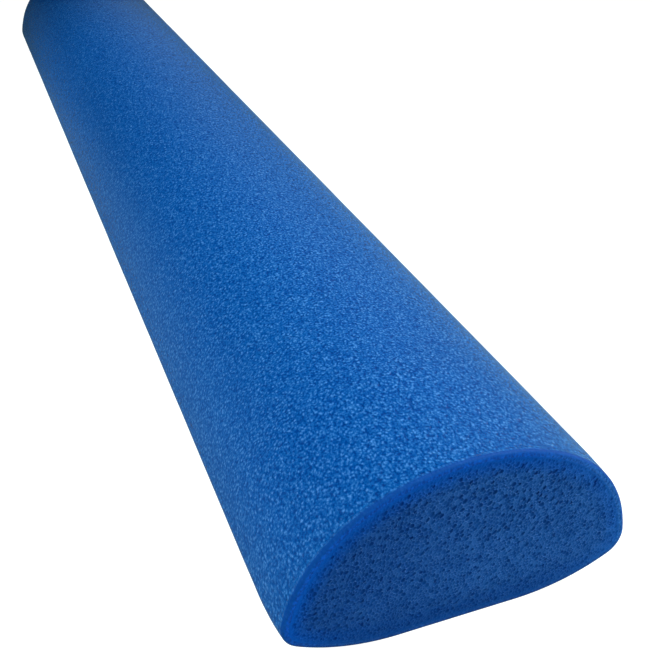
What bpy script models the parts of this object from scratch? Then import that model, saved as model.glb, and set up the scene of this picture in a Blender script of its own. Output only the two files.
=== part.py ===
"""Half round foam roller: one extruded bar of closed cell polyethylene foam, sawn off square at both ends.

The bar lies along Y on its flat side, with the origin on the ground under its middle. A cellular core fills a
denser skin. Both follow one section, a low half round with tight lips. Near each cut end the lips are drawn in,
and the outer edge of the cut is rounded over.
"""
import math

import bmesh
import bpy

# Driving dimensions in metres
LENGTH = 0.9144
WIDTH = 0.150
HEIGHT = 0.080
BASE_LAND = 0.050
LIP_RADIUS = 0.011
SKIN_THICKNESS = 0.0025
BOND_GAP = 0.0003
LIP_DRAW = 0.0022
LIP_DRAW_LENGTH = 0.022
RIM_RADIUS = 0.0012

# Headings at which one arc of the section runs into the next, from level along the base to level over the crown
FLANK_END = math.radians(28)
WIDEST = math.radians(90)
LIP_END = math.radians(101)
SHOULDER_END = math.radians(150)
CROWN_END = math.radians(180)

# How tightly the draw gathers at the lips, and how fast it fades along the bar
DRAW_GATHER = 4
DRAW_FADE = 2

# Steps round each arc of the section, and along the rounded rim and the drawn-in stretch of each end
FLANK_STEPS = 8
LIP_STEPS = 9
LIP_TOP_STEPS = 2
SHOULDER_STEPS = 10
CROWN_STEPS = 8
RIM_STEPS = 3
DRAW_STEPS = 6

# Edges sharper than this are shown as edges
SHARP_ANGLE = math.radians(40)

# Base colour and roughness of the two layers
SKIN_BLUE = (0.018, 0.115, 0.480, 1.0)
SKIN_ROUGHNESS = 0.42
CORE_BLUE = (0.016, 0.075, 0.290, 1.0)
CORE_ROUGHNESS = 0.85


def clear_scene():
    for old in list(bpy.data.objects):
        bpy.data.objects.remove(old, do_unlink=True)


def make_material(name, colour, roughness):
    material = bpy.data.materials.new(name)
    material.use_nodes = True
    shader = material.node_tree.nodes["Principled BSDF"]
    shader.inputs["Base Color"].default_value = colour
    shader.inputs["Roughness"].default_value = roughness
    shader.inputs["Metallic"].default_value = 0.0
    material.diffuse_color = colour
    return material


def section_arcs():
    """Radius, end heading and steps of each arc, from the edge of the base land round to the crown.

    The flank's radius brings the lip out to half the width. The shoulder's and the crown's radii then close the
    outline over the middle, level, at the full height.
    """
    land = BASE_LAND / 2
    flank_sin = math.sin(FLANK_END)
    flank_cos = math.cos(FLANK_END)
    flank_radius = (WIDTH / 2 - land - LIP_RADIUS * (1 - flank_sin)) / flank_sin

    run_left = land + flank_radius * flank_sin + LIP_RADIUS * (math.sin(LIP_END) - flank_sin)
    climb_left = HEIGHT - flank_radius * (1 - flank_cos) - LIP_RADIUS * (flank_cos - math.cos(LIP_END))

    # Each unit of shoulder or crown radius gives so much run towards the middle and so much climb
    shoulder_run = math.sin(LIP_END) - math.sin(SHOULDER_END)
    shoulder_climb = math.cos(LIP_END) - math.cos(SHOULDER_END)
    crown_run = math.sin(SHOULDER_END) - math.sin(CROWN_END)
    crown_climb = math.cos(SHOULDER_END) - math.cos(CROWN_END)
    scale = shoulder_run * crown_climb - crown_run * shoulder_climb
    shoulder_radius = (run_left * crown_climb - crown_run * climb_left) / scale
    crown_radius = (shoulder_run * climb_left - shoulder_climb * run_left) / scale

    return (
        (flank_radius, FLANK_END, FLANK_STEPS),
        (LIP_RADIUS, WIDEST, LIP_STEPS),
        (LIP_RADIUS, LIP_END, LIP_TOP_STEPS),
        (shoulder_radius, SHOULDER_END, SHOULDER_STEPS),
        (crown_radius, CROWN_END, CROWN_STEPS),
    )


def outline(inset=0.0):
    """Closed outline of the section as (x, z), set in by an even depth, with one point at the crown.

    Touching arcs meet on one normal, so setting the outline in only shortens every radius by the inset.
    """
    x = BASE_LAND / 2
    z = inset
    heading = 0.0
    right = [(x, z)]
    for full_radius, end_heading, steps in section_arcs():
        radius = full_radius - inset
        centre_x = x - radius * math.sin(heading)
        centre_z = z + radius * math.cos(heading)
        for step in range(1, steps + 1):
            angle = heading + (end_heading - heading) * step / steps
            right.append((centre_x + radius * math.sin(angle), centre_z - radius * math.cos(angle)))
        x, z = right[-1]
        heading = end_heading
    right[-1] = (0.0, z)
    left = [(-x, z) for x, z in reversed(right[:-1])]
    return right + left


def lean_of_points():
    """How far each point of the outline moves along X at a cut face, the same for every layer of the wall."""
    half_width = WIDTH / 2
    return [-math.copysign(LIP_DRAW * (abs(x) / half_width) ** DRAW_GATHER, x) for x, z in outline()]


def ring(depth, inset, end):
    """One ring of points (x, y, z) at a depth inside the cut face of the near end (-1) or the far end (1)."""
    y = end * (LENGTH / 2 - depth)
    share = max(0.0, 1 - depth / LIP_DRAW_LENGTH) ** DRAW_FADE
    leans = lean_of_points()
    return [(x + share * lean, y, z) for (x, z), lean in zip(outline(inset), leans)]


def square_end(inset):
    """Depth and inset of each ring of an end whose edge stays sharp, from the cut face inward."""
    return [(LIP_DRAW_LENGTH * step / DRAW_STEPS, inset) for step in range(DRAW_STEPS + 1)]


def rounded_end():
    """Depth and inset of each ring of the outer surface, from the cut face round the rim and inward."""
    stations = []
    for step in range(RIM_STEPS + 1):
        angle = math.radians(90) * step / RIM_STEPS
        stations.append((RIM_RADIUS * (1 - math.cos(angle)), RIM_RADIUS * (1 - math.sin(angle))))
    span = LIP_DRAW_LENGTH - RIM_RADIUS
    for step in range(1, DRAW_STEPS + 1):
        stations.append((RIM_RADIUS + span * step / DRAW_STEPS, 0.0))
    return stations


def full_length(stations):
    """Rings from the near end to the far end for the stations of one end."""
    near = [ring(depth, inset, -1) for depth, inset in stations]
    far = [ring(depth, inset, 1) for depth, inset in reversed(stations)]
    return near + far


def make_loft(name, rings, material, is_tube):
    """A loft through the rings, closed into a tube through the last and first rings, or capped at both."""
    mesh = bpy.data.meshes.new(name)
    bm = bmesh.new()
    loops = [[bm.verts.new(point) for point in points] for points in rings]
    pairs = list(zip(loops, loops[1:]))
    if is_tube:
        pairs.append((loops[-1], loops[0]))
    for first, second in pairs:
        for index in range(len(first)):
            after = (index + 1) % len(first)
            bm.faces.new((first[index], first[after], second[after], second[index]))
    if not is_tube:
        bm.faces.new(loops[0])
        bm.faces.new(loops[-1])
    bmesh.ops.recalc_face_normals(bm, faces=bm.faces)
    bm.to_mesh(mesh)
    bm.free()
    mesh.shade_smooth()
    mesh.set_sharp_from_angle(angle=SHARP_ANGLE)
    mesh.materials.append(material)
    return bpy.data.objects.new(name, mesh)


def make_outer_skin():
    """The dense outer layer: a tube open at both cut faces, with its outer edges rounded over."""
    outside = full_length(rounded_end())
    inside = full_length(square_end(SKIN_THICKNESS))
    material = make_material("foam_skin", SKIN_BLUE, SKIN_ROUGHNESS)
    return make_loft("outer_skin", outside + inside[::-1], material, is_tube=True)


def make_foam_core():
    """The cellular inside of the bar, flush with the skin at both cut faces."""
    rings = full_length(square_end(SKIN_THICKNESS + BOND_GAP))
    material = make_material("foam_cut", CORE_BLUE, CORE_ROUGHNESS)
    return make_loft("foam_core", rings, material, is_tube=False)


def main():
    clear_scene()
    collection = bpy.data.collections.new("half_round_foam_roller")
    bpy.context.scene.collection.children.link(collection)
    datum = bpy.data.objects.new("base_datum", None)
    collection.objects.link(datum)
    for layer in (make_outer_skin(), make_foam_core()):
        layer.parent = datum
        collection.objects.link(layer)


main()
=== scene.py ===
import math

import bpy
import numpy as np
from mathutils import Matrix, Vector, geometry, noise


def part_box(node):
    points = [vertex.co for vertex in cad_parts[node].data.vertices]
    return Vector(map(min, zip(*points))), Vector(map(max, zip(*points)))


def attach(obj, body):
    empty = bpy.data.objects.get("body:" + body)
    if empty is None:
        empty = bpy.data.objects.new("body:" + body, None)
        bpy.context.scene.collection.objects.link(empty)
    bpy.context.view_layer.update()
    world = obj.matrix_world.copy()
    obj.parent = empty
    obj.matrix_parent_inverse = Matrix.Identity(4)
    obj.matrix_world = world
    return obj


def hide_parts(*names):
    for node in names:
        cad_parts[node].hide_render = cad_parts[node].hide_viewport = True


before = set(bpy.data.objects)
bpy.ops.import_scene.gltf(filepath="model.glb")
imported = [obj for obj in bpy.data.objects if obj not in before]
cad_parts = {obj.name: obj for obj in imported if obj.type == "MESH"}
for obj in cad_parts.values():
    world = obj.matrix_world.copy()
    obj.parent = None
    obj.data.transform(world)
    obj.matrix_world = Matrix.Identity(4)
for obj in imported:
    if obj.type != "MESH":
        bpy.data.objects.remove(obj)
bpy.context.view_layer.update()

MM = 0.001
NEAR_END = -1
FAR_END = 1

# Sizes of the roller, from the frame
HALF_WIDTH, HALF_LENGTH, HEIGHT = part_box("outer_skin")[1]
CORE_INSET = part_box("foam_core")[0][2]

# The section that both layers follow
HALF_LAND = 25 * MM
LIP_RADIUS = 11 * MM
FLANK_END = math.radians(28)
LIP_END = math.radians(101)
SHOULDER_END = math.radians(150)
BOND_GAP = 0.3 * MM
SKIN_THICKNESS = CORE_INSET - BOND_GAP

# How the lips draw in beside a cut end, and the rounding of the cut's outer edge
LIP_DRAW = 2.2 * MM
LIP_DRAW_LENGTH = 22 * MM
DRAW_GATHER = 4
DRAW_FADE = 2
RIM_RADIUS = 1.2 * MM

# Light that shines through the skin round a cut face: heights between which it grows, and its reach inward
GLOW_BOTTOM = 4 * MM
GLOW_TOP = 18 * MM
GLOW_DEPTH = 8.4 * MM
LOWEST_SHARE = 0.9

# How the peel fades out beside a cut: at two places across the roller, its band and the calm left at the rim
CALM_PLACES = (-5 * MM, 25 * MM)
CALM_BANDS = (1.0 * MM, 1.5 * MM)
CALM_AT_RIM = (0.1, 0.28)

# How far down the rim's rounding faces where the floor starts to shade it, and where it is fully shaded
SHADED_FROM = 1 / 3
SHADED_TO = 8 / 9

# Fineness of the meshes
AROUND = 256
ARC_SAMPLES = 160
ALONG_STEP = 3.5 * MM
DRAW_RINGS = 20
DRAW_RING_GROWTH = 1.2
RIM_RINGS = 5
CUT_RINGS = 4
WALL_RINGS = 6
CORE_RINGS = 12

# Edges sharper than these are shown as edges
SKIN_SHARP_ANGLE = math.radians(40)
CORE_SHARP_ANGLE = math.radians(60)

# Unevenness of the skin: depth, span and place in the noise of its dents and its ripples
DENTS = (0.22 * MM, 38 * MM, 3.1)
RIPPLES = (0.06 * MM, 9 * MM, 8.4)
NOISE_DIRECTION = (1, 2.7, -1.3)
SINK_SOFTNESS = 0.04 * MM

# Cells of the foam on a cut face, with their sizes as shares of the spacing
CELL_SEED = 11
CELL_SPACING = 1.2 * MM
CELL_TRIES = 70000
CELL_SIZES = (0.6, 1.0)
BIG_CELL_TRIES = 7000
BIG_CELL_SIZES = (0.95, 1.3)
BIG_CELL_APART = 1.75 * MM
EDGE_CLEARANCE = 0.6 * CELL_SPACING
CELL_STRETCH = 1.3
CELL_SLANT = math.radians(54)

# Steps over the grid of cells that reach every neighbour of a cell
NEARBY = range(-2, 3)

# Shape of a cell: share of its width that its floor keeps, depth when open and when shut, and roughness
FLOOR_WIDTH = 0.72
OPEN_DEPTH = 0.75 * MM
SHUT_DEPTH = 0.14 * MM
CUT_ROUGHNESS = 0.07 * MM
FLOOR_ROUGHNESS = 0.4

# Band inside the skin over which the cells open up, at two places across the roller
FIRM_PLACES = (20 * MM, 60 * MM)
FIRM_BANDS = (2.6 * MM, 1.3 * MM)

# Darkness of the cells, from 0 to 1: lightest, and how much chance adds, for each end's own draw of chance
SHADE_SEEDS = {NEAR_END: 23, FAR_END: 31}
BIG_SHADE = 0.22
BIG_SHADE_CHANCE = 0.52
SMALL_SHADE_CHANCE = 0.36
EDGE_SHADE = 0.3

# Clusters of darker cells: patches (x, z, reach), a rise towards the crown, and noise that the ends don't share
DARK_PATCHES = (
    (12 * MM, 62 * MM, 15 * MM),
    (36 * MM, 52 * MM, 15 * MM),
    (-20 * MM, 55 * MM, 10 * MM),
    (-50 * MM, 24 * MM, 12 * MM),
)
PATCH_WEIGHT = 0.25
RISE_WEIGHT = 0.3
NOISE_WEIGHT = 0.2
NOISE_SPAN = 6 * MM
NOISE_OFFSET = 5.0
NOISE_END_SHIFT = 50 * MM
CLUSTER_MIDDLE = 0.85
CLUSTER_GAIN = 0.45
CLUSTER_LIMITS = (0.5, 1.25)

# Heights in a cell as the material reads them
CREST = 0.0
CELL_EDGE = 0.5
CELL_FLOOR = 1.0

# What the triangulation of the cells fills, and the distance under which it joins points
INSIDE_LOOP = 1
JOIN_DISTANCE = 1e-9

# Floor and walls of the studio: how they glow on the roller, and how the camera sees them
STAGE_REACH = 12.0
FLOOR_BASE = (0.25, 0.37, 0.33, 1)
FLOOR_GLOW = (0.015, 0.03, 0.02)
FLOOR_WHITE = (1.0, 1.0, 1.0)
FLOOR_DULL = 0.9
WALL_TINT = (0.85, 1.0, 0.7, 1)
WALL_WHITE = (1, 1, 1, 1)
WALL_GLOW = 0.27
WALL_GLOW_SIDES = (-0.08, 0.38)

# Pairs of soft boxes beside the roller: where they hang (x, z), then middle, length, energy left and right
LEFT_BOX_PLACE = (-0.72, 0.54)
RIGHT_BOX_PLACE = (0.67, 0.60)
SIDE_BOX_BREADTH = 0.45
SIDE_BOX_SPREAD = 40
SIDE_BOXES = ((-0.615, 0.77, 1.07, 1.12), (0.05, 0.62, 0.73, 0.86))

# Soft boxes before the two cut ends: name, place, where along the roller they aim, and energy
END_BOX_SIZE = (1.2, 0.7)
END_BOX_SPREAD = 120
END_BOXES = (
    ("front_softbox", (0.8, -1.25, 0.34), -0.457, 2.95),
    ("back_softbox", (-0.6, 1.7, 0.34), 0.457, 1.8),
)
AIM_HEIGHT = 0.04

# Camera, as fitted to the photograph's outlines
CAMERA_PLACE = (-0.1427, -0.6646, 0.2816)
CAMERA_YAW = math.radians(-22.11)
CAMERA_PITCH = math.radians(-31.45)
CAMERA_ROLL = math.radians(1.44)
FOCAL_PIXELS = 912.9
PHOTO_PIXELS = 655
SENSOR_WIDTH = 36.0
CLIP_START = 0.01

# Blues of the skin: its peel from the creases to the dome tops, with painted shade and painted glints, and what
# it is mixed with
PEEL_SHADE_AND_GLINT_TONES = (
    (0.0, (0.0, 0.044, 0.245)),
    (0.22, (0.0, 0.068, 0.315)),
    (0.42, (0.004, 0.100, 0.39)),
    (0.66, (0.018, 0.150, 0.49)),
    (1.0, (0.060, 0.265, 0.68)),
)
FAR_BLUE = (0.002, 0.090, 0.385)
FLANK_BLUE = (0.0, 0.096, 0.40)
CALM_BLUE = (0.001, 0.078, 0.35)
# Painted shade on the rim's rounding, where it faces the lamps
ROUNDING_SHADE_BLUE = (0.0, 0.056, 0.31)

# Blues of the skin's own cut, from dark to pale grain: low down with painted shade, where light shines through,
# and at the right with painted light
LOW_SHADE_TONES = ((0.35, (0.0, 0.048, 0.26)), (0.65, (0.012, 0.100, 0.44)))
GLOW_TONES = ((0.35, (0.0, 0.056, 0.39)), (0.65, (0.0, 0.130, 0.75)))
RIGHT_LIT_TONES = ((0.35, (0.0, 0.064, 0.37)), (0.65, (0.040, 0.225, 0.71)))
# Painted shade on the rim's rounding, which faces the lamps
RIM_TOP_SHADE_BLUE = (0.0, 0.065, 0.34)
# Painted shadow where the rim's rounding faces the floor
UNDER_SHADOW_BLUE = (0.0, 0.008, 0.03)

# Domes of the peel: how many to the metre along each axis, and how they get coarser and calmer along the bar
PEEL_PER_METRE = (1020, 770, 780)
COARSE_STRETCH = (-0.40, 0.25)
COARSEST = 0.64
CALM_STRETCH = (-0.30, 0.35)
FAR_CALM = 0.48
FLANK_STRETCH = (-75 * MM, -35 * MM)
FLANK_CALM = 0.25
RIGHT_STRETCH = (20 * MM, 60 * MM)
PEEL_BUMP = 0.2 * MM
DOME_STEEPNESS = 2.2
GRAIN_HEIGHT = 1.2
SKIN_GLOSSY = 0.27
SKIN_DULL = 0.78
ROUNDING_DULL = 0.75
SKIN_SPECULAR = 0.2

# Blues of the foam's cut: cells from shallow to deep with painted shade, walls from worn to whole, and what
# they are mixed with
HOLLOW_SHADE_TONES = (
    (0.0, (0.032, 0.152, 0.54)),
    (0.35, (0.012, 0.098, 0.41)),
    (1.0, (0.0, 0.036, 0.23)),
)
WALL_TONES = ((0.35, (0.022, 0.130, 0.49)), (0.65, (0.095, 0.285, 0.78)))
CLOUD_BLUE = (0.0, 0.07, 0.33)
LEFT_DARK_BLUE = (0.0, 0.042, 0.28)
LOW_SHADE_BLUE = (0.002, 0.05, 0.27)
RIM_LEFT_BLUE = (0.0, 0.112, 0.64)
RIM_RIGHT_LIT_BLUE = (0.026, 0.176, 0.66)
RIM_GRIT_BLUE = (0.0, 0.060, 0.40)
RIM_PIT_SHADE_BLUE = (0.0, 0.040, 0.28)
LEFT_DARK_STRETCH = (-60 * MM, 15 * MM)
GRIT_BUMP = 0.15 * MM
CUT_DULL = 0.8
CUT_SPECULAR = 0.06


def section_line():
    """Dense points with headings round the outline, from the middle of the base, and their distances."""
    flank_sin = math.sin(FLANK_END)
    flank_cos = math.cos(FLANK_END)
    flank_radius = (HALF_WIDTH - HALF_LAND - LIP_RADIUS * (1 - flank_sin)) / flank_sin
    run_left = HALF_LAND + flank_radius * flank_sin + LIP_RADIUS * (math.sin(LIP_END) - flank_sin)
    climb_left = HEIGHT - flank_radius * (1 - flank_cos) - LIP_RADIUS * (flank_cos - math.cos(LIP_END))
    turns = np.array([
        [math.sin(LIP_END) - math.sin(SHOULDER_END), math.sin(SHOULDER_END)],
        [math.cos(LIP_END) - math.cos(SHOULDER_END), math.cos(SHOULDER_END) + 1],
    ])
    shoulder_radius, crown_radius = np.linalg.solve(turns, [run_left, climb_left])
    arcs = (
        (flank_radius, FLANK_END),
        (LIP_RADIUS, LIP_END),
        (shoulder_radius, SHOULDER_END),
        (crown_radius, math.pi),
    )
    x, z, heading = HALF_LAND, 0.0, 0.0
    points = [(0.0, 0.0, 0.0), (x, z, heading)]
    for radius, end in arcs:
        centre_x = x - radius * math.sin(heading)
        centre_z = z + radius * math.cos(heading)
        for angle in np.linspace(heading, end, ARC_SAMPLES)[1:]:
            points.append((centre_x + radius * math.sin(angle), centre_z - radius * math.cos(angle), angle))
        x, z, heading = points[-1]
    right = np.array(points)
    left = right[-2::-1] * (-1, 1, -1) + (0, 0, 2 * math.pi)
    whole = np.vstack([right, left])
    steps = np.hypot(np.diff(whole[:, 0]), np.diff(whole[:, 1]))
    return whole, np.concatenate([[0.0], np.cumsum(steps)])


LINE, LINE_LENGTHS = section_line()
PERIMETER = LINE_LENGTHS[-1]


def outline(count):
    """Evenly spaced points (x, z) round the outline with their outward normals."""
    along = np.arange(count) * PERIMETER / count
    x, z, heading = (np.interp(along, LINE_LENGTHS, LINE[:, k]) for k in range(3))
    return np.column_stack([x, z]), np.column_stack([np.sin(heading), -np.cos(heading)])


def lean(x, depth):
    """Shift along X of points whose outer point is at x, at a depth inside the cut face."""
    share = np.clip(1 - depth / LIP_DRAW_LENGTH, 0, 1) ** DRAW_FADE
    return -np.sign(x) * share * LIP_DRAW * (np.abs(x) / HALF_WIDTH) ** DRAW_GATHER


def ring(points, normals, depth, inset, end):
    """One ring of the section at a depth inside the cut face of one end, set in by an even inset."""
    x = points[:, 0] - inset * normals[:, 0] + lean(points[:, 0], depth)
    z = points[:, 1] - inset * normals[:, 1]
    return np.column_stack([x, np.full(len(x), end * (HALF_LENGTH - depth)), z])


def uneven(places, span, offset):
    """Smooth noise between about -1 and 1 at each place."""
    shift = Vector([offset * part for part in NOISE_DIRECTION])
    return np.array([noise.noise(Vector(place) / span + shift) for place in places])


def make_object(name, points, faces, sharp_angle):
    mesh = bpy.data.meshes.new(name)
    mesh.from_pydata([tuple(p) for p in points], [], faces)
    mesh.validate()
    mesh.shade_smooth()
    mesh.set_sharp_from_angle(angle=sharp_angle)
    piece = bpy.data.objects.new(name, mesh)
    bpy.context.scene.collection.objects.link(piece)
    return piece


def store(piece, name, values):
    """Keeps one number for each vertex under a name that the piece's material reads."""
    attribute = piece.data.attributes.new(name, "FLOAT", "POINT")
    attribute.data.foreach_set("value", np.asarray(values, dtype=np.float32))


def lowness(z):
    """0 where light shines fully through the skin at a cut face, growing towards the bottom of the face."""
    return np.clip((GLOW_TOP - z) / (GLOW_TOP - GLOW_BOTTOM), 0, LOWEST_SHARE)


def join_rings(first, second):
    return [
        (first + k, first + (k + 1) % AROUND, second + (k + 1) % AROUND, second + k)
        for k in range(AROUND)
    ]


def skin_stations():
    """Depth, inset and turn outward of each ring of one end, from the inner edge of the skin's cut."""
    stations = []
    for step in range(CUT_RINGS):
        inset = SKIN_THICKNESS + (RIM_RADIUS - SKIN_THICKNESS) * step / CUT_RINGS
        stations.append((0.0, inset, 0.0))
    for step in range(RIM_RINGS + 1):
        angle = 0.5 * math.pi * step / RIM_RINGS
        depth = RIM_RADIUS * (1 - math.cos(angle))
        inset = RIM_RADIUS * (1 - math.sin(angle))
        stations.append((depth, inset, math.sin(angle)))
    for step in range(1, DRAW_RINGS + 1):
        depth = RIM_RADIUS + (LIP_DRAW_LENGTH - RIM_RADIUS) * (step / DRAW_RINGS) ** DRAW_RING_GROWTH
        stations.append((depth, 0.0, 0.0))
    return stations


def calmness(points, depth, turn):
    """1 on the cut, falling round its rim to what is left at each point, and to 0 over a band beside it."""
    bands = np.interp(points[:, 0], CALM_PLACES, CALM_BANDS)
    at_rim = np.interp(points[:, 0], CALM_PLACES, CALM_AT_RIM)
    if depth > RIM_RADIUS:
        return at_rim * np.clip(1 - (depth - RIM_RADIUS) / bands, 0, 1)
    return 1 - (1 - at_rim) * turn ** 2


def skin_rings(points, normals):
    """Rings of the skin with the calmness of each point and the turn of each ring, and how many lie outside.

    They run from the near cut's inner edge over the outside to the far one's, and back through the bar.
    """
    stations = skin_stations()
    middle = np.arange(LIP_DRAW_LENGTH + ALONG_STEP, 2 * HALF_LENGTH - LIP_DRAW_LENGTH, ALONG_STEP)
    rings = []
    for depth, inset, turn in stations:
        rings.append((ring(points, normals, depth, inset, NEAR_END), calmness(points, depth, turn), turn))
    for place in middle:
        flat = ring(points, normals, LIP_DRAW_LENGTH, 0.0, NEAR_END)
        flat[:, 1] = place - HALF_LENGTH
        rings.append((flat, np.zeros(AROUND), 0.0))
    for depth, inset, turn in reversed(stations):
        rings.append((ring(points, normals, depth, inset, FAR_END), calmness(points, depth, turn), turn))
    outer_count = len(rings)
    for step in range(WALL_RINGS):
        share = 1 - 2 * (step + 1) / (WALL_RINGS + 1)
        wall = ring(points, normals, LIP_DRAW_LENGTH, SKIN_THICKNESS, FAR_END)
        wall[:, 1] = share * (HALF_LENGTH - LIP_DRAW_LENGTH)
        rings.append((wall, np.ones(AROUND), 0.0))
    return rings, outer_count


def make_skin():
    points, normals = outline(AROUND)
    rings, outer_count = skin_rings(points, normals)
    places = np.vstack([places for places, _, _ in rings])
    cuts = np.concatenate([calm for _, calm, _ in rings])
    turns = np.repeat([turn for _, _, turn in rings], AROUND)
    rounds = np.tile(normals, (len(rings), 1))

    # Dents and ripples only sink in, so that the skin stays inside the solid, and they leave the cuts alone
    height = sum(depth * uneven(places, span, offset) for depth, span, offset in (DENTS, RIPPLES))
    sink = 0.5 * (height + np.sqrt(height ** 2 + SINK_SOFTNESS ** 2))
    outer = np.arange(len(places)) < outer_count * AROUND
    sink = np.where(outer, sink * np.clip(2 - 2 * cuts, 0, 1), 0.0)
    places[:, 0] -= sink * rounds[:, 0]
    places[:, 2] -= sink * rounds[:, 1]

    faces = []
    for k in range(len(rings)):
        faces += join_rings(k * AROUND, (k + 1) % len(rings) * AROUND)
    piece = make_object("foam_skin", places, faces, SKIN_SHARP_ANGLE)
    store(piece, "cut", cuts)
    store(piece, "low", lowness(places[:, 2]))
    store(piece, "turn", turns)
    store(piece, "under", turns * np.interp(-rounds[:, 1], (SHADED_FROM, SHADED_TO), (0, 1)))
    return piece


def squeezed(places):
    """Places measured along and across the slant of the cells, with the stretch along it taken out."""
    along = places[:, 0] * math.cos(CELL_SLANT) + places[:, 1] * math.sin(CELL_SLANT)
    across = places[:, 1] * math.cos(CELL_SLANT) - places[:, 0] * math.sin(CELL_SLANT)
    return np.column_stack([along / CELL_STRETCH, across])


def edge_depth(places, edge):
    """Distance of each place inside the closed convex edge, negative outside."""
    after = np.roll(edge, -1, axis=0)
    direction = after - edge
    direction /= np.linalg.norm(direction, axis=1)[:, None]
    inward = np.column_stack([-direction[:, 1], direction[:, 0]])
    distances = np.einsum("pk,ek->pe", places, inward) - np.einsum("ek,ek->e", edge, inward)
    return distances.min(axis=1)


def firm_share(places, depths):
    """0 at the inside of the skin, rising to 1 where the foam has its full cells."""
    share = np.clip(depths / np.interp(places[:, 0], FIRM_PLACES, FIRM_BANDS), 0, 1)
    return share * share * (3 - 2 * share)


def cell_sites():
    """Edge loop of a cut face, and places (x, z), depths and bigness of its cells, set apart at random."""
    rng = np.random.default_rng(CELL_SEED)
    points, normals = outline(int(PERIMETER / CELL_SPACING))
    edge = points - SKIN_THICKNESS * normals
    edge[:, 0] += lean(points[:, 0], 0.0)
    tries = rng.uniform((-HALF_WIDTH, 0), (HALF_WIDTH, HEIGHT), (CELL_TRIES, 2))
    depths = edge_depth(tries, edge)
    reaches = 0.5 * CELL_SPACING * rng.uniform(*CELL_SIZES, CELL_TRIES)
    reaches[:BIG_CELL_TRIES] = 0.5 * CELL_SPACING * rng.uniform(*BIG_CELL_SIZES, BIG_CELL_TRIES)
    kept, taken = [], {}
    metric = squeezed(tries)
    for number in np.flatnonzero(depths > EDGE_CLEARANCE):
        x, z = metric[number]
        column, row = int(x // CELL_SPACING), int(z // CELL_SPACING)
        near = [
            other
            for i in NEARBY
            for j in NEARBY
            for other in taken.get((column + i, row + j), ())
        ]
        gaps = []
        for other in near:
            limit = BIG_CELL_APART if number < BIG_CELL_TRIES else reaches[number] + reaches[other]
            gaps.append(math.hypot(x - metric[other][0], z - metric[other][1]) - limit)
        if min(gaps, default=1) > 0:
            taken.setdefault((column, row), []).append(number)
            kept.append(number)
    return edge, tries[kept], depths[kept], np.array(kept) < BIG_CELL_TRIES


def triangulated(sites, count_edge):
    """Corners and middles of the triangles between the sites, and the numbers of those round each site."""
    loop = [(k, (k + 1) % count_edge) for k in range(count_edge)]
    flattened = [Vector(site) for site in squeezed(sites)]
    _, _, triangles, _, _, _ = geometry.delaunay_2d_cdt(flattened, loop, [], INSIDE_LOOP, JOIN_DISTANCE)
    around = [[] for _ in sites]
    for number, corners in enumerate(triangles):
        for corner in corners:
            around[corner].append(number)
    middles = np.array([sites[list(corners)].mean(axis=0) for corners in triangles])
    return triangles, middles, around


def cell_shades(inner, big, end, rng):
    """How dark each cell is, from 0 to 1: big cells more than small ones, and in clusters."""
    seen = np.column_stack([inner[:, 0], np.full(len(inner), NOISE_END_SHIFT * end), inner[:, 1]])
    clusters = NOISE_WEIGHT * uneven(seen, NOISE_SPAN, NOISE_OFFSET)
    clusters += RISE_WEIGHT * (inner[:, 1] / (0.5 * HEIGHT) - 1)
    for x, z, reach in DARK_PATCHES:
        clusters += PATCH_WEIGHT * np.exp(-((inner[:, 0] - x) ** 2 + (inner[:, 1] - z) ** 2) / reach ** 2)
    chance = rng.random(len(inner))
    shades = np.where(big, BIG_SHADE + BIG_SHADE_CHANCE * chance, SMALL_SHADE_CHANCE * chance)
    return np.clip(shades * np.clip(CLUSTER_MIDDLE + CLUSTER_GAIN * clusters, *CLUSTER_LIMITS), 0, 1)


def in_order(numbers, places, centre, start):
    """The numbers in the order of their places round the centre, anticlockwise from a starting heading."""
    spread = places[numbers] - centre
    turn = np.arctan2(spread[:, 1], spread[:, 0])
    return [numbers[k] for k in np.argsort((turn - start) % (2 * math.pi))]


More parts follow.
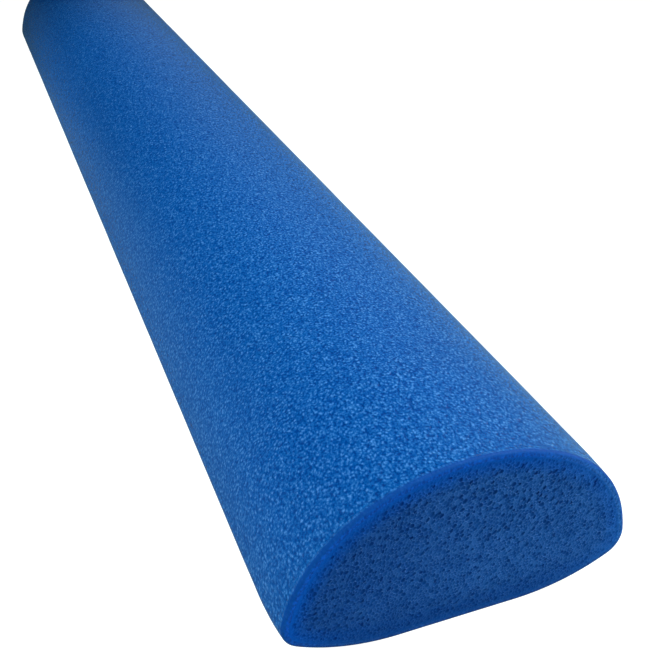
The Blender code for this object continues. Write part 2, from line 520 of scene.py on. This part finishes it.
def cut_face(end):
    """Points, faces, numbers for the material and edge loop of one cut face with its cells."""
    edge, inner, depth, big = cell_sites()
    rng = np.random.default_rng(SHADE_SEEDS[end])
    sites = np.vstack([edge, inner])
    count_edge = len(edge)
    triangles, middles, around = triangulated(sites, count_edge)
    half_edge = 0.5 * (edge + np.roll(edge, -1, axis=0))
    flat = np.vstack([middles, half_edge, edge])
    first_half = len(middles)
    first_edge = first_half + count_edge

    firmness = firm_share(inner, depth)
    shades = cell_shades(inner, big, end, rng)
    dark = np.concatenate([np.full(count_edge, EDGE_SHADE), EDGE_SHADE + firmness * (shades - EDGE_SHADE)])
    heights = np.zeros(len(flat))
    rough = CUT_ROUGHNESS * rng.uniform(-1, 1, len(middles))
    heights[:first_half] = firm_share(middles, edge_depth(middles, edge)) * (CUT_ROUGHNESS + rough)
    points = [(place[0], place[1], height) for place, height in zip(flat, heights)]
    pit_shades = [dark[list(corners)].mean() for corners in triangles] + [EDGE_SHADE] * (2 * count_edge)
    floors = [CREST] * len(middles) + [CELL_EDGE] * (2 * count_edge)

    # Flat patches along the edge
    faces = []
    for site in range(count_edge):
        start = half_edge[site] - sites[site]
        patch = in_order(around[site], middles, sites[site], math.atan2(start[1], start[0]))
        faces.append([first_edge + site, first_half + site, *patch, first_half + (site - 1) % count_edge])

    # Cells, each a ring of sloping walls round a floor
    for cell in range(len(inner)):
        site = count_edge + cell
        crest = in_order(around[site], middles, sites[site], -math.pi)
        centre = middles[crest].mean(axis=0)
        reach = firmness[cell] * (SHUT_DEPTH + (OPEN_DEPTH - SHUT_DEPTH) * shades[cell])
        start = len(points)
        for number in crest:
            place = centre + FLOOR_WIDTH * (middles[number] - centre)
            points.append((place[0], place[1], heights[number] * FLOOR_ROUGHNESS + reach))
        pit_shades += [dark[site]] * len(crest)
        floors += [CELL_FLOOR] * len(crest)
        bottom = list(range(start, len(points)))
        for k in range(len(crest)):
            after = (k + 1) % len(crest)
            faces.append([crest[k], crest[after], bottom[after], bottom[k]])
        faces.append(bottom)

    points = np.array(points)
    world = np.column_stack([points[:, 0], end * (HALF_LENGTH - points[:, 2]), points[:, 1]])
    glow = np.clip(1 - edge_depth(points[:, :2], edge) / GLOW_DEPTH, 0, 1)
    glow *= 1 - lowness(points[:, 1])
    if end == FAR_END:
        faces = [face[::-1] for face in faces]
    rim_loop = []
    for k in range(count_edge):
        rim_loop += [first_edge + k, first_half + k]
    return world, faces, np.array(pit_shades), np.array(floors), glow, rim_loop


def make_core():
    near, near_faces, near_pit_shades, near_floors, near_glow, near_loop = cut_face(NEAR_END)
    far, far_faces, far_pit_shades, far_floors, far_glow, far_loop = cut_face(FAR_END)
    points = [near, far]
    faces = near_faces + [[corner + len(near) for corner in face] for face in far_faces]
    loops = [near_loop]
    start = len(near) + len(far)
    count = len(near_loop)
    for step in range(1, CORE_RINGS):
        row = near[near_loop]
        row[:, 1] = -HALF_LENGTH + 2 * HALF_LENGTH * (step / CORE_RINGS)
        points.append(row)
        loops.append(list(range(start, start + count)))
        start += count
    loops.append([corner + len(near) for corner in far_loop])
    for first, second in zip(loops, loops[1:]):
        for k in range(count):
            after = (k + 1) % count
            faces.append([first[k], second[k], second[after], first[after]])
    points = np.vstack(points)
    piece = make_object("foam_core_cut", points, faces, CORE_SHARP_ANGLE)
    side = len(points) - len(near) - len(far)
    store(piece, "pit_shade", np.concatenate([near_pit_shades, far_pit_shades, np.zeros(side)]))
    store(piece, "floor", np.concatenate([near_floors, far_floors, np.ones(side)]))
    store(piece, "glow", np.concatenate([near_glow, far_glow, np.ones(side)]))
    store(piece, "low", lowness(points[:, 2]))
    return piece


class Painter:
    """Short ways to add the nodes of one material."""

    def __init__(self, name):
        self.material = bpy.data.materials.new(name)
        self.material.use_nodes = True
        self.nodes = self.material.node_tree.nodes
        self.links = self.material.node_tree.links
        self.shader = self.nodes["Principled BSDF"]
        coordinates = self.nodes.new("ShaderNodeTexCoord")
        self.place = coordinates.outputs["Object"]

    def axis(self, name):
        """The piece's own coordinate along one axis, in metres."""
        node = self.nodes.new("ShaderNodeSeparateXYZ")
        self.links.new(self.place, node.inputs["Vector"])
        return node.outputs[name]

    def stretched(self, per_metre):
        """Object coordinates scaled separately along each axis."""
        node = self.nodes.new("ShaderNodeVectorMath")
        node.operation = "MULTIPLY"
        node.inputs[1].default_value = per_metre
        self.links.new(self.place, node.inputs[0])
        return node.outputs[0]

    def scaled(self, vector, scale):
        node = self.nodes.new("ShaderNodeVectorMath")
        node.operation = "SCALE"
        self.links.new(vector, node.inputs[0])
        self.links.new(scale, node.inputs["Scale"])
        return node.outputs[0]

    def noise_node(self, vector, scale, detail):
        node = self.nodes.new("ShaderNodeTexNoise")
        node.inputs["Scale"].default_value = scale
        node.inputs["Detail"].default_value = detail
        self.links.new(vector, node.inputs["Vector"])
        return node

    def noise(self, vector, scale, detail, roughness=0.5):
        node = self.noise_node(vector, scale, detail)
        node.inputs["Roughness"].default_value = roughness
        return node.outputs["Fac"]

    def bent(self, vector, scale, reach):
        """The vector shifted by smooth noise of the scale, by up to the reach."""
        node = self.noise_node(vector, scale, detail=1)
        shift = self.nodes.new("ShaderNodeVectorMath")
        shift.operation = "MULTIPLY_ADD"
        shift.inputs[1].default_value = (reach, reach, reach)
        self.links.new(node.outputs["Color"], shift.inputs[0])
        self.links.new(vector, shift.inputs[2])
        return shift.outputs[0]

    def cells(self, vector, scale):
        """Distance from the middle of the nearest cell, and a number from 0 to 1 that is that cell's own."""
        node = self.nodes.new("ShaderNodeTexVoronoi")
        node.inputs["Scale"].default_value = scale
        self.links.new(vector, node.inputs["Vector"])
        parts = self.nodes.new("ShaderNodeSeparateColor")
        self.links.new(node.outputs["Color"], parts.inputs["Color"])
        return node.outputs["Distance"], parts.outputs["Red"]

    def attribute(self, name):
        node = self.nodes.new("ShaderNodeAttribute")
        node.attribute_name = name
        return node.outputs["Fac"]

    def math(self, operation, *values):
        node = self.nodes.new("ShaderNodeMath")
        node.operation = operation
        for socket, value in zip(node.inputs, values):
            if isinstance(value, (int, float)):
                socket.default_value = value
            else:
                self.links.new(value, socket)
        return node.outputs[0]

    def product(self, first, second):
        return self.math("MULTIPLY", first, second)

    def remap(self, value, limits, results):
        """The value moved from between two limits to between two results, and held there."""
        node = self.nodes.new("ShaderNodeMapRange")
        node.inputs["From Min"].default_value, node.inputs["From Max"].default_value = limits
        node.inputs["To Min"].default_value, node.inputs["To Max"].default_value = results
        self.links.new(value, node.inputs["Value"])
        return node.outputs["Result"]

    def ramp(self, value, stops):
        node = self.nodes.new("ShaderNodeValToRGB")
        ramp = node.color_ramp
        while len(ramp.elements) < len(stops):
            ramp.elements.new(0.5)
        for element, (position, colour) in zip(ramp.elements, stops):
            element.position = position
            element.color = (*colour, 1)
        self.links.new(value, node.inputs["Fac"])
        return node.outputs["Color"]

    def mix(self, share, first, second):
        node = self.nodes.new("ShaderNodeMix")
        node.data_type = "RGBA"
        self.links.new(share, node.inputs["Factor"])
        for name, value in (("A", first), ("B", second)):
            socket = [s for s in node.inputs if s.name == name and s.type == "RGBA"][0]
            if isinstance(value, tuple):
                socket.default_value = (*value, 1)
            else:
                self.links.new(value, socket)
        return [s for s in node.outputs if s.type == "RGBA"][0]

    def bump(self, height, distance):
        node = self.nodes.new("ShaderNodeBump")
        node.inputs["Strength"].default_value = 1.0
        node.inputs["Distance"].default_value = distance
        self.links.new(height, node.inputs["Height"])
        self.links.new(node.outputs["Normal"], self.shader.inputs["Normal"])


def skin_material():
    paint = Painter("blue_foam_skin")
    shader = paint.shader
    shader.inputs["Specular IOR Level"].default_value = SKIN_SPECULAR
    across = paint.axis("X")
    along = paint.axis("Y")
    cut = paint.attribute("cut")
    low = paint.attribute("low")
    turn = paint.attribute("turn")
    under = paint.attribute("under")
    calm = paint.remap(cut, (0.0, 0.5), (0.0, 0.7))

    # One unit of these coordinates is about one dome of the peel
    peel = paint.scaled(paint.stretched(PEEL_PER_METRE), paint.remap(along, COARSE_STRETCH, (1.0, COARSEST)))
    distance, chance = paint.cells(paint.bent(peel, scale=0.9, reach=0.9), scale=0.85)
    patches = paint.noise(peel, scale=0.2, detail=2)
    grain = paint.noise(peel, scale=1.1, detail=3, roughness=0.6)

    # Domes over the cells under the skin, some of them fuller than others
    dome = paint.math("SUBTRACT", 1.0, paint.product(paint.product(distance, distance), DOME_STEEPNESS))
    own_fullness = paint.remap(chance, (0, 1), (0.55, 1.1))
    fullness = paint.product(own_fullness, paint.remap(patches, (0.3, 0.7), (0.8, 1.1)))
    height = paint.math("ADD", paint.product(dome, fullness), paint.product(grain, GRAIN_HEIGHT))
    paint.bump(paint.product(height, paint.math("SUBTRACT", 1.0, calm)), PEEL_BUMP)

    # The thin tops of the domes are paler than the creases between them, partly in their own colour and partly
    # as painted glints, with painted shade in the creases
    painted_glint_and_shade = paint.product(paint.remap(distance, (0.75, 0.05), (0.0, 0.75)), fullness)
    glint_shade_and_grain = paint.math("ADD", painted_glint_and_shade, paint.remap(grain, (0.25, 0.75), (-0.35, 0.75)))
    skin = paint.ramp(glint_shade_and_grain, PEEL_SHADE_AND_GLINT_TONES)
    skin = paint.mix(paint.remap(along, CALM_STRETCH, (0.0, FAR_CALM)), skin, FAR_BLUE)
    skin = paint.mix(paint.remap(across, FLANK_STRETCH, (FLANK_CALM, 0.0)), skin, FLANK_BLUE)
    skin = paint.mix(calm, skin, CALM_BLUE)
    # Painted shade: the rounding at the cut darker, where it faces the lamps
    skin = paint.mix(paint.remap(turn, (0.2, 0.9), (0.0, 0.85)), skin, ROUNDING_SHADE_BLUE)

    # The skin's own cut
    glow = paint.ramp(grain, GLOW_TONES)
    # Painted light: the cut paler towards the right
    glow = paint.mix(paint.remap(across, RIGHT_STRETCH, (0.0, 0.9)), glow, paint.ramp(grain, RIGHT_LIT_TONES))
    # Painted shade: the cut darker low down
    band = paint.mix(low, glow, paint.ramp(grain, LOW_SHADE_TONES))
    # Painted shade: the rounding darker the further it turns outward
    band = paint.mix(turn, band, RIM_TOP_SHADE_BLUE)
    # Painted shadow where the rounding faces the floor
    band = paint.mix(under, band, UNDER_SHADOW_BLUE)
    colour = paint.mix(paint.remap(cut, (0.5, 1.0), (0.0, 1.0)), skin, band)
    paint.links.new(colour, shader.inputs["Base Color"])

    cut_dull = paint.remap(cut, (0.0, 0.6), (SKIN_GLOSSY, SKIN_DULL))
    turn_dull = paint.remap(turn, (0.1, 0.8), (SKIN_GLOSSY, ROUNDING_DULL))
    paint.links.new(paint.math("MAXIMUM", cut_dull, turn_dull), shader.inputs["Roughness"])
    return paint.material


def cut_material():
    paint = Painter("blue_foam_cut")
    shader = paint.shader
    shader.inputs["Specular IOR Level"].default_value = CUT_SPECULAR
    shader.inputs["Roughness"].default_value = CUT_DULL
    across = paint.axis("X")
    in_mm = paint.stretched((1000, 1000, 1000))
    glow = paint.attribute("glow")
    pit_shade = paint.attribute("pit_shade")
    floor = paint.attribute("floor")
    low = paint.attribute("low")
    cloud = paint.noise(in_mm, scale=0.12, detail=3)
    grit = paint.noise(in_mm, scale=1.1, detail=3, roughness=0.6)
    paint.bump(grit, GRIT_BUMP)

    # Pale thin walls, worn away in places, round cells whose floors carry painted shade, darker the deeper they
    # are
    crest = paint.remap(floor, (0.15, 0.75), (1.0, 0.0))
    whole = paint.remap(paint.noise(in_mm, scale=0.45, detail=2), (0.38, 0.62), (0.15, 0.9))
    foam = paint.mix(paint.product(crest, whole), paint.ramp(pit_shade, HOLLOW_SHADE_TONES), paint.ramp(grit, WALL_TONES))
    foam = paint.mix(paint.remap(cloud, (0.35, 0.65), (0.08, 0.23)), foam, CLOUD_BLUE)
    # Darker towards the left
    foam = paint.mix(paint.remap(across, LEFT_DARK_STRETCH, (0.45, 0.0)), foam, LEFT_DARK_BLUE)
    # Painted shade: the face darker towards the bottom
    foam = paint.mix(paint.remap(low, (0.0, LOWEST_SHARE), (0.0, 0.6)), foam, LOW_SHADE_BLUE)

    # Light through the skin brightens the cells beside it
    # Painted light: the rim paler towards the right, where it catches more light
    rim = paint.mix(paint.remap(across, RIGHT_STRETCH, (0.0, 0.8)), RIM_LEFT_BLUE, RIM_RIGHT_LIT_BLUE)
    rim = paint.mix(paint.remap(grit, (0.38, 0.62), (0.0, 0.4)), rim, RIM_GRIT_BLUE)
    # Painted shade in the pits, seen through the painted light at the rim
    rim = paint.mix(paint.remap(pit_shade, (EDGE_SHADE, 0.9), (0.0, 0.6)), rim, RIM_PIT_SHADE_BLUE)
    paint.links.new(paint.mix(glow, foam, rim), shader.inputs["Base Color"])
    return paint.material


def make_stage():
    mesh = bpy.data.meshes.new("studio_floor")
    corners = [(x * STAGE_REACH, y * STAGE_REACH, 0) for x, y in ((-1, -1), (1, -1), (1, 1), (-1, 1))]
    mesh.from_pydata(corners, [], [(0, 1, 2, 3)])
    floor = bpy.data.objects.new("studio_floor", mesh)
    bpy.context.scene.collection.objects.link(floor)
    paint = Painter("pale_floor")
    shader = paint.shader
    shader.inputs["Base Color"].default_value = FLOOR_BASE
    shader.inputs["Roughness"].default_value = FLOOR_DULL
    shader.inputs["Specular IOR Level"].default_value = 0.0
    shader.inputs["Emission Strength"].default_value = 1.0
    seen = paint.nodes.new("ShaderNodeLightPath").outputs["Is Camera Ray"]
    paint.links.new(paint.mix(seen, FLOOR_GLOW, FLOOR_WHITE), shader.inputs["Emission Color"])
    mesh.materials.append(paint.material)


def make_world():
    """Studio walls that glow more to the right, and that the camera sees as plain white."""
    world = bpy.data.worlds.new("soft_studio")
    bpy.context.scene.world = world
    world.use_nodes = True
    nodes = world.node_tree.nodes
    links = world.node_tree.links
    background = nodes["Background"]
    background.inputs["Color"].default_value = WALL_TINT
    direction = nodes.new("ShaderNodeTexCoord")
    sides = nodes.new("ShaderNodeSeparateXYZ")
    links.new(direction.outputs["Generated"], sides.inputs["Vector"])
    level = nodes.new("ShaderNodeMapRange")
    level.inputs["From Min"].default_value, level.inputs["From Max"].default_value = WALL_GLOW_SIDES
    level.inputs["To Min"].default_value = 0.0
    level.inputs["To Max"].default_value = WALL_GLOW
    links.new(sides.outputs["X"], level.inputs["Value"])
    links.new(level.outputs["Result"], background.inputs["Strength"])
    seen = nodes.new("ShaderNodeLightPath")
    white = nodes.new("ShaderNodeBackground")
    white.inputs["Color"].default_value = WALL_WHITE
    choice = nodes.new("ShaderNodeMixShader")
    links.new(seen.outputs["Is Camera Ray"], choice.inputs["Fac"])
    links.new(background.outputs["Background"], choice.inputs[1])
    links.new(white.outputs["Background"], choice.inputs[2])
    links.new(choice.outputs["Shader"], nodes["World Output"].inputs["Surface"])


def make_lamp(name, place, aim, along, size, spread, energy, mirrored):
    """A soft box shining from a place to an aim, with the second of its sizes along the direction given."""
    data = bpy.data.lights.new(name, "AREA")
    data.shape = "RECTANGLE"
    data.size, data.size_y = size
    data.spread = math.radians(spread)
    data.energy = energy
    lamp = bpy.data.objects.new(name, data)
    back = (Vector(place) - Vector(aim)).normalized()
    across = Vector(along).cross(back).normalized()
    turned = Matrix((across, back.cross(across), back)).transposed().to_4x4()
    lamp.matrix_world = Matrix.Translation(place) @ turned
    lamp.visible_glossy = mirrored
    bpy.context.scene.collection.objects.link(lamp)


def make_lamps():
    for y, length, left_energy, right_energy in SIDE_BOXES:
        sides = (
            ("left_softbox", LEFT_BOX_PLACE, left_energy, False),
            ("right_softbox", RIGHT_BOX_PLACE, right_energy, True),
        )
        aim = (0, y, AIM_HEIGHT)
        size = (SIDE_BOX_BREADTH, length)
        for name, (x, z), energy, mirrored in sides:
            make_lamp(name, (x, y, z), aim, (0, 1, 0), size, SIDE_BOX_SPREAD, energy, mirrored)
    for name, place, aim_y, energy in END_BOXES:
        make_lamp(name, place, (0, aim_y, AIM_HEIGHT), (0, 0, 1), END_BOX_SIZE, END_BOX_SPREAD, energy, False)


def make_camera():
    data = bpy.data.cameras.new("photo_view")
    data.sensor_width = SENSOR_WIDTH
    data.lens = FOCAL_PIXELS * SENSOR_WIDTH / PHOTO_PIXELS
    data.clip_start = CLIP_START
    forward = Vector((
        -math.sin(CAMERA_YAW) * math.cos(CAMERA_PITCH),
        math.cos(CAMERA_YAW) * math.cos(CAMERA_PITCH),
        math.sin(CAMERA_PITCH),
    ))
    level = Vector((math.cos(CAMERA_YAW), math.sin(CAMERA_YAW), 0))
    upright = level.cross(forward)
    right = math.cos(CAMERA_ROLL) * level + math.sin(CAMERA_ROLL) * upright
    up = -math.sin(CAMERA_ROLL) * level + math.cos(CAMERA_ROLL) * upright
    camera = bpy.data.objects.new("photo_view", data)
    turned = Matrix((right, up, -forward)).transposed().to_4x4()
    camera.matrix_world = Matrix.Translation(CAMERA_PLACE) @ turned
    bpy.context.scene.collection.objects.link(camera)
    bpy.context.scene.camera = camera


def main():
    bpy.context.scene.view_settings.view_transform = "Standard"
    make_camera()
    make_world()
    make_lamps()
    make_stage()
    skin = make_skin()
    skin.data.materials.append(skin_material())
    core = make_core()
    core.data.materials.append(cut_material())
    for piece, node, slot in ((skin, "outer_skin", "skin"), (core, "foam_core", "cut_foam")):
        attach(piece, "root")
        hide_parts(node)


main()
